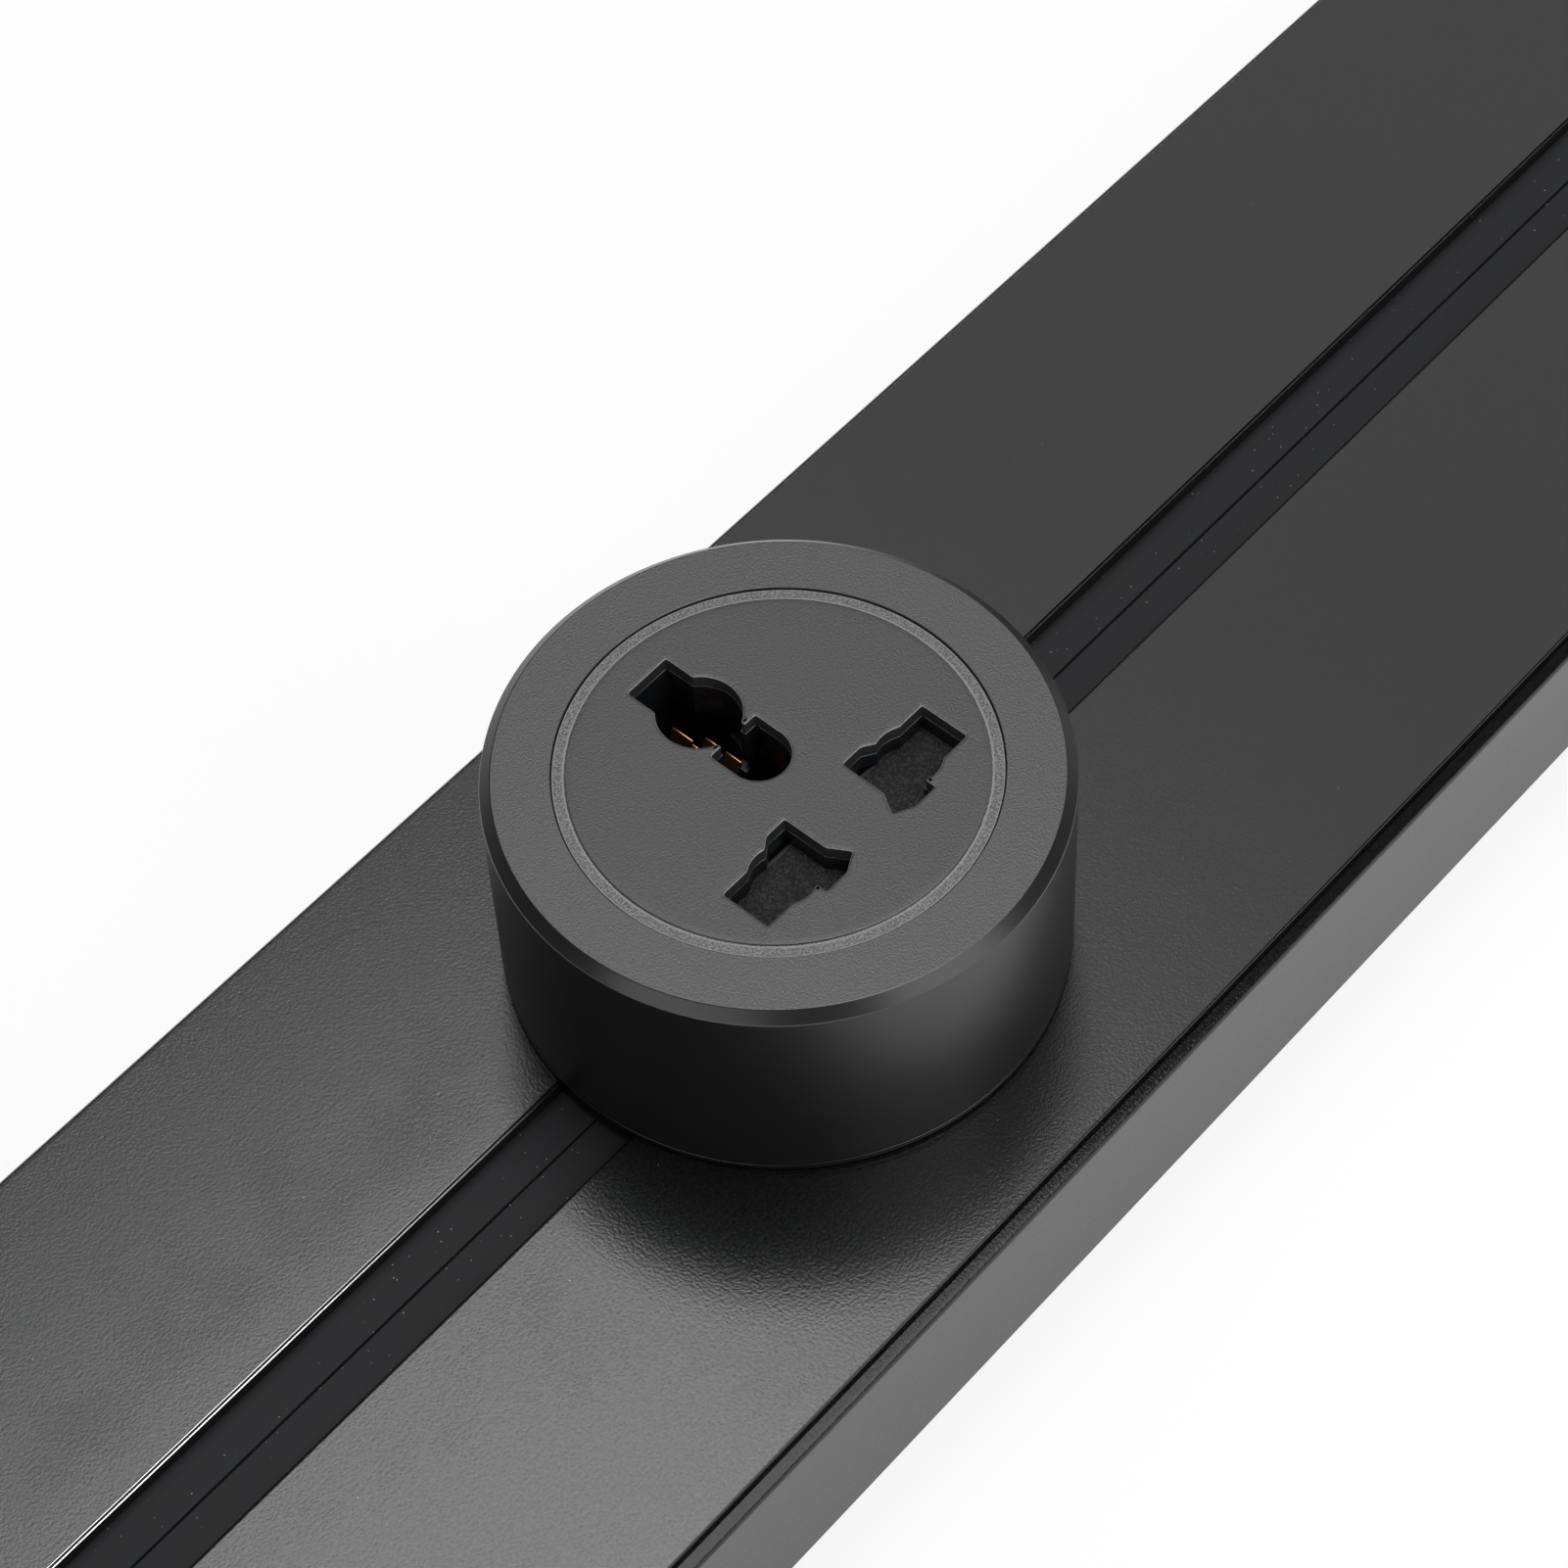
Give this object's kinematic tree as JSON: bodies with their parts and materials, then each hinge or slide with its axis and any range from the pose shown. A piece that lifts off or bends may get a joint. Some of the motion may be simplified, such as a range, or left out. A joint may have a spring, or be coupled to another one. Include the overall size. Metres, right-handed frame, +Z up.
{
  "type": "power track socket",
  "caption": "Round twist-in power socket with multi-standard pin apertures, locked in a black surface-mounted power track it slides along.",
  "frame": {"origin": "centre of the track's flat back face, under the socket's axis", "axes": "+X along the track towards the feed end, +Y across the track towards the socket's earth aperture, +Z up out of the track"},
  "size_m": [0.4, 0.083, 0.0502],
  "materials": {
    "track_coat": "fine textured black powder coat",
    "lip_rubber": "matt extruded rubber",
    "liner_plastic": "satin extruded plastic",
    "copper": "drawn copper",
    "cap_plastic": "fine textured black plastic",
    "zinc_steel": "zinc plated steel",
    "housing_plastic": "satin black plastic",
    "face_plastic": "fine textured dark grey plastic",
    "inner_plastic": "matt black plastic",
    "shutter_plastic": "matt grained plastic",
    "block_plastic": "pale terminal plastic",
    "spring_steel": "spring steel"
  },
  "bodies": {
    "track": {"track_body": "track_coat", "top_plate_left": "track_coat", "top_plate_right": "track_coat", "seal_lip_left": "lip_rubber", "seal_lip_right": "lip_rubber", "bus_liner_left": "liner_plastic", "bus_liner_right": "liner_plastic", "neutral_busbar": "copper", "live_busbar": "copper", "earth_strip": "copper", "end_cap_left": "cap_plastic", "end_cap_right": "cap_plastic", "end_cap_screws": "zinc_steel", "cable_grommet": "lip_rubber", "terminal_block": "block_plastic", "terminal_screws": "zinc_steel"},
    "foot": {"foot_plate": "inner_plastic"},
    "adapter": {"housing": "housing_plastic", "socket_face": "face_plastic", "shutter_guide": "inner_plastic", "shutter_spring": "spring_steel", "contact_carrier": "inner_plastic", "live_contact": "copper", "neutral_contact": "copper", "earth_contact": "copper", "key_column": "inner_plastic", "live_wing": "copper", "neutral_wing": "copper", "earth_spring": "spring_steel", "base_cover": "inner_plastic", "assembly_screws": "zinc_steel"},
    "shutter": {"shutter": "shutter_plastic"},
    "plunger": {"earth_plunger": "copper"}
  },
  "joints": [
    {"name": "adapter_slide", "type": "slide", "parent": "track", "child": "foot", "axis": [1, 0, 0], "range_m": [-0.16, 0.16], "deforming": ["seal_lip_left", "seal_lip_right"]},
    {"name": "adapter_turn", "type": "hinge", "parent": "foot", "child": "adapter", "pos_m": [0, 0, 0.022], "axis": [0, 0, 1], "range_deg": [0, 90]},
    {"name": "shutter_slide", "type": "slide", "parent": "adapter", "child": "shutter", "axis": [0, -1, 0], "range_m": [0, 0.0062], "stiffness_N_per_m": 150, "springref_m": -0.002, "deforming": ["shutter_spring"]},
    {"name": "plunger_press", "type": "slide", "parent": "adapter", "child": "plunger", "axis": [0, 0, 1], "range_m": [0, 0.0015], "stiffness_N_per_m": 200, "springref_m": -0.002, "deforming": ["earth_spring"]}
  ]
}
